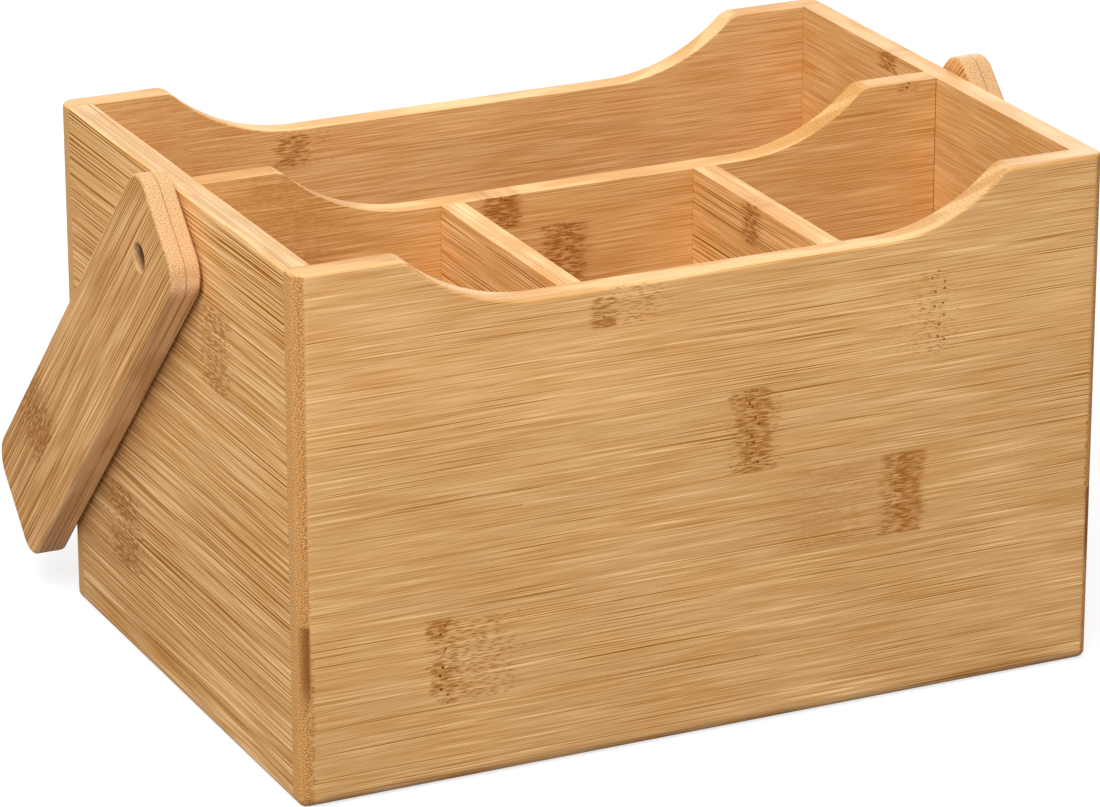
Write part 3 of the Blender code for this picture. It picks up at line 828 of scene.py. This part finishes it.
def nylon(name):
    """Milky nylon of the washers."""
    material = bpy.data.materials.new(name)
    material.use_nodes = True
    tree = material.node_tree
    shader = tree.nodes["Principled BSDF"]
    place = add(tree, "TexCoord").outputs["Object"]
    cloud = noise(tree, scaled(tree, place, (600.0, 600.0, 600.0)), detail=3.0, ways="3D")
    colour = mixed(tree, cloud, (0.62, 0.60, 0.55, 1), (0.74, 0.72, 0.67, 1))
    tree.links.new(colour, shader.inputs["Base Color"])
    tree.links.new(ramped(tree, cloud, 0.3, 0.7, 0.34, 0.46), shader.inputs["Roughness"])
    relief = add(tree, "Bump", {"Height": cloud, "Strength": 0.08, "Distance": 0.0001})
    tree.links.new(relief.outputs[0], shader.inputs["Normal"])
    return material


ALONG_X, ALONG_Y, UP = (1, 0, 0), (0, 1, 0), (0, 0, 1)

# Growth rings of each board: those of the front, the left side, the left arm and the visible inner faces lie
# as in the photograph, and the others are placed freely. Rows are the middles of the strips, counted from the
# table, and a ring of half height WHOLE crosses its strip.
# The broad, fully feathered entries of the back and the middle divider that carry only stain are painted
# shade over the left wells, not rings.
ROW_2, ROW_3, ROW_4, ROW_5 = 38.2, 65.7, 93.3, 120.8
WHOLE = 13.6
FRONT_KNUCKLES = (
    (-129.5, 26.0, 3.6, 26.0, 0.50, (1.2, 0.0, 0.0)),
    (129.5, ROW_3, 3.2, WHOLE, 0.40, (1.6, 0.0, 0.0)),
    (14.0, ROW_4, 10.0, WHOLE, 0.80, (0.8, 0.7, 1.0)),
    (14.0, ROW_4, 17.0, WHOLE, 0.80, (0.0, 0.5, 0.0)),
    (66.5, ROW_3, 5.4, WHOLE, 0.55, (1.0, 0.5, 0.0)),
    (60.5, ROW_3, 6.0, WHOLE, 0.70, (0.6, 0.8, 0.4)),
    (40.0, ROW_3, 26.0, WHOLE, 0.80, (0.45, 0.2, 0.0)),
    (-87.0, 49.0, 5.0, 3.2, 0.45, (0.7, 0.6, 0.3)),
    (-86.0, 34.0, 4.8, 4.6, 0.40, (0.6, 0.6, 0.6)),
    (-85.5, ROW_2, 6.0, WHOLE, 0.60, (0.1, 0.3, 0.8)),
    (-76.0, ROW_2, 19.0, WHOLE, 0.60, (0.1, 0.75, 0.0)),
    (75.0, ROW_5, 11.0, WHOLE, 0.70, (0.0, 0.25, 0.9)),
    (66.0, ROW_5, 24.0, WHOLE, 0.80, (0.0, 0.45, 0.0)),
    (-35.0, 137.0, 5.0, 5.0, 0.50, (0.7, 0.7, 0.8)),
    (-24.0, 141.0, 20.0, 9.0, 0.80, (0.1, 0.7, 0.0)),
)
BACK_KNUCKLES = (
    (57.0, 138.0, 6.5, 5.0, 0.5, (0.5, 0.8, 0.4)),
    (-20.0, ROW_3, 7.0, WHOLE, 0.6, (0.7, 0.8, 0.9)),
    (80.0, ROW_4, 6.0, WHOLE, 0.6, (0.5, 0.9, 0.8)),
    (-90.0, ROW_2, 6.0, WHOLE, 0.6, (0.5, 0.8, 0.8)),
    (54.0, 141.0, 18.0, 9.0, 0.8, (0.1, 0.6, 0.0)),
    (76.0, ROW_4, 20.0, WHOLE, 0.8, (0.1, 0.5, 0.0)),
    # painted shade over the upper left of the back panel
    (95.0, 148.0, 50.0, 30.0, 1.0, (0.36, 0.0, 0.0)),
)
LEFT_KNUCKLES = (
    (31.7, ROW_5, 19.0, WHOLE, 0.90, (0.5, 1.2, 0.1)),
    (-46.0, ROW_2, 24.0, WHOLE, 0.95, (0.9, 1.3, 0.1)),
)
RIGHT_KNUCKLES = (
    (27.0, 160.0, 7.0, 4.5, 0.6, (0.8, 1.0, 0.8)),
    (40.0, ROW_3, 12.0, WHOLE, 0.6, (0.5, 0.9, 0.6)),
    (-50.0, ROW_4, 14.0, WHOLE, 0.6, (0.4, 0.9, 0.4)),
)
MIDDLE_KNUCKLES = (
    (-26.0, 141.0, 8.5, 7.0, 0.6, (1.2, 1.0, 0.6)),
    (-5.0, ROW_5, 11.0, WHOLE, 0.7, (0.9, 1.0, 0.5)),
    (70.0, ROW_3, 9.0, WHOLE, 0.6, (0.4, 0.9, 0.5)),
    (112.0, 161.0, 5.0, 3.0, 0.6, (0.3, 0.8, 1.0)),
    # painted shade over the upper left of the middle divider
    (-95.0, 148.0, 40.0, 30.0, 1.0, (0.55, 0.0, 0.0)),
)
LEFT_CROSS_KNUCKLES = ((-60.0, ROW_4, 9.0, WHOLE, 0.6, (0.4, 0.8, 0.5)),)
RIGHT_CROSS_KNUCKLES = ((-42.0, 140.0, 9.0, 9.0, 0.8, (1.0, 0.9, 0.5)),)
LEFT_ARM_KNUCKLES = ((123.5, -11.0, 20.0, 13.0, 0.8, (1.0, 1.4, 0.4)),)
RIGHT_ARM_KNUCKLES = ((60.0, 4.0, 12.0, 18.0, 0.8, (0.8, 1.0, 0.5)),)

# The foot and top values in these looks are painted shade and painted light by height.
FRONT_LOOK = {
    "Light": (0.72, 0.405, 0.163, 1), "Warm": (0.69, 0.363, 0.13, 1), "Edge_colour": (0.54, 0.32, 0.12, 1),
    "Thread_strength": 1.25, "Thread_spacing": 0.62, "Thread_thickness": 0.38, "Grain_strength": 0.33,
    "Dark_strip_top": 57.0, "Low_tone": 0.86, "High_tone": 0.98,
}
BACK_LOOK = {
    "Light": (0.68, 0.39, 0.155, 1), "Warm": (0.655, 0.34, 0.12, 1), "End_colour": (0.76, 0.43, 0.16, 1),
    "Thread_strength": 0.5, "Grain_strength": 0.4, "Skin": 0.0, "Dot_strength": 0.3,
}
LEFT_LOOK = {
    "Light": (0.76, 0.41, 0.155, 1), "Warm": (0.71, 0.355, 0.11, 1), "Edge_colour": (0.62, 0.52, 0.33, 1),
    "Thread_colour": (0.38, 0.13, 0.006, 1), "Thread_strength": 3.0, "Thread_length": 170.0,
    "Thread_spacing": 0.85, "Thread_thickness": 0.37, "Grain_strength": 0.8,
    "Low_tone": 0.93, "High_tone": 1.06, "Groove": 1.0,
}
RIGHT_LOOK = {
    "Light": (0.72, 0.40, 0.145, 1), "Warm": (0.66, 0.335, 0.107, 1),
    "Thread_strength": 0.5, "Grain_strength": 0.4, "Groove": 1.0,
}
MIDDLE_LOOK = {
    "Light": (0.70, 0.375, 0.13, 1), "Warm": (0.66, 0.33, 0.10, 1), "Edge_colour": (0.61, 0.325, 0.09, 1),
    "Thread_strength": 0.6, "Grain_strength": 0.4, "Groove": 1.0,
}
LEFT_CROSS_LOOK = {
    "Light": (0.755, 0.415, 0.145, 1), "Warm": (0.75, 0.37, 0.11, 1), "Edge_colour": (0.63, 0.33, 0.125, 1),
    "Thread_colour": (0.36, 0.125, 0.006, 1), "Thread_strength": 2.4, "Thread_length": 150.0,
    "Thread_spacing": 0.8, "Thread_thickness": 0.36, "Groove": 1.0,
}
RIGHT_CROSS_LOOK = dict(LEFT_CROSS_LOOK, Thread_strength=1.5)
ARM_LOOK = {
    "Light": (0.745, 0.39, 0.155, 1), "Warm": (0.61, 0.28, 0.093, 1), "Edge_colour": (0.90, 0.60, 0.36, 1),
    "Thread_colour": (0.38, 0.135, 0.008, 1), "Pale_line": (0.95, 0.58, 0.25, 1),
    "End_colour": (0.67, 0.41, 0.20, 1), "Thread_strength": 2.4, "Thread_length": 150.0,
    "Thread_spacing": 0.75, "Thread_thickness": 0.36, "Dot_strength": 0.6, "Skin": 0.0,
    "Strip_height": 200.0, "First_seam": -100.0, "Glue_line": 4.75, "Bore_radius": 4.6,
}
GRIP_LOOK = {"Thread_strength": 0.5, "Strip_height": 400.0, "First_seam": -200.0}

# Each board's grain is laid from a point on its face: the outer one, or the front, left or upper one of an
# inner board. The arms' point is on the pivot's axis, and the grip's is the box's own origin.
spans = cross_divider_spans()
(left_cross_x, _), (right_cross_x, _) = spans
DOWN_ARM = (0, math.sin(HANDLE_REST_ANGLE), -math.cos(HANDLE_REST_ANGLE))
ACROSS_ARM = (0, math.cos(HANDLE_REST_ANGLE), math.sin(HANDLE_REST_ANGLE))
BACK_ACROSS_ARM = [-v for v in ACROSS_ARM]
front_wood = bamboo("bamboo_front", (0, -DEPTH / 2, 0), ALONG_X, UP, 3.0, FRONT_KNUCKLES, **FRONT_LOOK)
back_wood = bamboo("bamboo_back", (0, DEPTH / 2, 0), (-1, 0, 0), UP, 11.0, BACK_KNUCKLES, **BACK_LOOK)
left_wood = bamboo("bamboo_left", (-WIDTH / 2, 0, 0), (0, -1, 0), UP, 21.0, LEFT_KNUCKLES, **LEFT_LOOK)
right_wood = bamboo("bamboo_right", (WIDTH / 2, 0, 0), ALONG_Y, UP, 33.0, RIGHT_KNUCKLES, **RIGHT_LOOK)
middle_wood = bamboo("bamboo_middle", (0, -BOARD / 2, 0), ALONG_X, UP, 45.0, MIDDLE_KNUCKLES, **MIDDLE_LOOK)
left_cross_wood = bamboo("bamboo_left_cross", (left_cross_x, 0, 0), ALONG_Y, UP, 57.0,
                         LEFT_CROSS_KNUCKLES, **LEFT_CROSS_LOOK)
right_cross_wood = bamboo("bamboo_right_cross", (right_cross_x, 0, 0), ALONG_Y, UP, 63.0,
                          RIGHT_CROSS_KNUCKLES, **RIGHT_CROSS_LOOK)
base_wood = bamboo("bamboo_base", (0, 0, BASE_THICKNESS), ALONG_X, ALONG_Y, 71.0, Thread_strength=0.5)
left_arm_wood = bamboo("bamboo_left_arm", (-ARM_OUTER_X, 0, PIVOT_HEIGHT), DOWN_ARM, BACK_ACROSS_ARM, 83.0,
                       LEFT_ARM_KNUCKLES, **ARM_LOOK)
right_arm_wood = bamboo("bamboo_right_arm", (ARM_OUTER_X, 0, PIVOT_HEIGHT), DOWN_ARM, ACROSS_ARM, 91.0,
                        RIGHT_ARM_KNUCKLES, **ARM_LOOK)
grip_wood = bamboo("bamboo_grip", (0, 0, 0), ALONG_X, UP, 97.0, **GRIP_LOOK)
screw_metal = steel("screw_steel_brushed")
washer_plastic = nylon("washer_nylon_milky")

make_long_wall("front_panel", 0.0, spans, front_wood)
make_long_wall("back_panel", math.pi, (), back_wood)
make_side_wall("left_panel", -1, left_wood)
make_side_wall("right_panel", 1, right_wood)
make_base(base_wood)
make_middle_divider(middle_wood)
for name, span, wood in zip(CROSS_DIVIDERS, spans, (left_cross_wood, right_cross_wood)):
    make_cross_divider(name, span[0], wood)
make_arm("left_arm", -1, left_arm_wood)
make_arm("right_arm", 1, right_arm_wood)
make_grip(grip_wood)
for word, side in (("left", -1), ("right", 1)):
    make_screw(word + "_pivot_screw", side, screw_metal)
    make_washer(word + "_washer", side, washer_plastic)
    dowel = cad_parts[word + "_grip_dowel"]
    for slot in dowel.material_slots:
        slot.material = grip_wood


# Studio. The camera was fitted to the caddy's corners, rims and arm in the photograph.

SOFTBOX_AIM = (0, 0, 0.08)
SOFTBOXES = (
    ("key_softbox", (-0.78, -0.83, 1.50), SOFTBOX_AIM, 1.1, 38.5),
    ("right_softbox", (1.7, -0.9, 0.3), SOFTBOX_AIM, 0.6, 5.0),
    ("ceiling_softbox", (0.15, 0.15, 1.8), SOFTBOX_AIM, 0.9, 8.0),
    ("rim_softbox", (1.3, 1.3, 0.9), (0, 0, 0.15), 0.6, 8.0),
)
FLOOR_RADIUS = 6.0
FLOOR_GREY = (0.28, 0.28, 0.28, 1)
FLOOR_GLOW = 0.74
WORLD_LIGHT = 0.35
WORLD_SEEN = 0.65
WHITE = (1, 1, 1, 1)
CAMERA_PLACE = (-0.68210, -1.42117, 0.65652)
CAMERA_FORWARD = (0.40183, 0.84743, -0.34699)
CAMERA_UP = (0.15030, 0.31275, 0.93787)
CAMERA_LENS = 180.02


def make_floor():
    """A pale round floor; the camera sees it as white, and it keeps the caddy's soft shadow."""
    bm = bmesh.new()
    bmesh.ops.create_circle(bm, cap_ends=True, segments=96, radius=FLOOR_RADIUS)
    mesh = bpy.data.meshes.new("studio_floor")
    bm.to_mesh(mesh)
    bm.free()
    floor = bpy.data.objects.new("studio_floor", mesh)
    bpy.context.scene.collection.objects.link(floor)
    material = bpy.data.materials.new("studio_white")
    material.use_nodes = True
    tree = material.node_tree
    shader = tree.nodes["Principled BSDF"]
    shader.inputs["Base Color"].default_value = FLOOR_GREY
    shader.inputs["Roughness"].default_value = 0.9
    shader.inputs["Specular IOR Level"].default_value = 0.0
    seen = add(tree, "LightPath").outputs["Is Camera Ray"]
    glow = maths(tree, "MULTIPLY", seen, FLOOR_GLOW)
    shader.inputs["Emission Color"].default_value = WHITE
    tree.links.new(glow, shader.inputs["Emission Strength"])
    mesh.materials.append(material)


def make_world():
    """Even white light, brighter where the camera or a gloss sees it."""
    world = bpy.data.worlds.new("studio")
    bpy.context.scene.world = world
    world.use_nodes = True
    tree = world.node_tree
    rays = add(tree, "LightPath").outputs
    seen = maths(tree, "MAXIMUM", rays["Is Camera Ray"], rays["Is Glossy Ray"])
    background = tree.nodes["Background"]
    background.inputs["Color"].default_value = WHITE
    strength = maths(tree, "MULTIPLY_ADD", seen, WORLD_SEEN, WORLD_LIGHT)
    tree.links.new(strength, background.inputs["Strength"])


def add_softbox(name, location, aim, size, power):
    """A square lamp that looks at a point; its size is in metres and its power in watts."""
    light = bpy.data.lights.new(name, "AREA")
    light.shape = "SQUARE"
    light.size = size
    light.energy = power
    lamp = bpy.data.objects.new(name, light)
    lamp.location = location
    lamp.rotation_euler = (Vector(aim) - Vector(location)).to_track_quat("-Z", "Y").to_euler()
    bpy.context.scene.collection.objects.link(lamp)


def make_camera():
    """Look at the caddy from the photograph's place."""
    camera = bpy.data.cameras.new("camera")
    camera.sensor_width = 36.0
    camera.lens = CAMERA_LENS
    camera.clip_start = 0.05
    camera.clip_end = 30.0
    forward = Vector(CAMERA_FORWARD).normalized()
    up = Vector(CAMERA_UP).normalized()
    right = forward.cross(up).normalized()
    up = right.cross(forward)
    obj = bpy.data.objects.new("camera", camera)
    turn = Matrix((right, up, -forward)).transposed().to_4x4()
    obj.matrix_world = Matrix.Translation(CAMERA_PLACE) @ turn
    bpy.context.scene.collection.objects.link(obj)
    bpy.context.scene.camera = obj


make_floor()
make_world()
for softbox in SOFTBOXES:
    add_softbox(*softbox)
make_camera()
bpy.context.scene.view_settings.view_transform = "Standard"
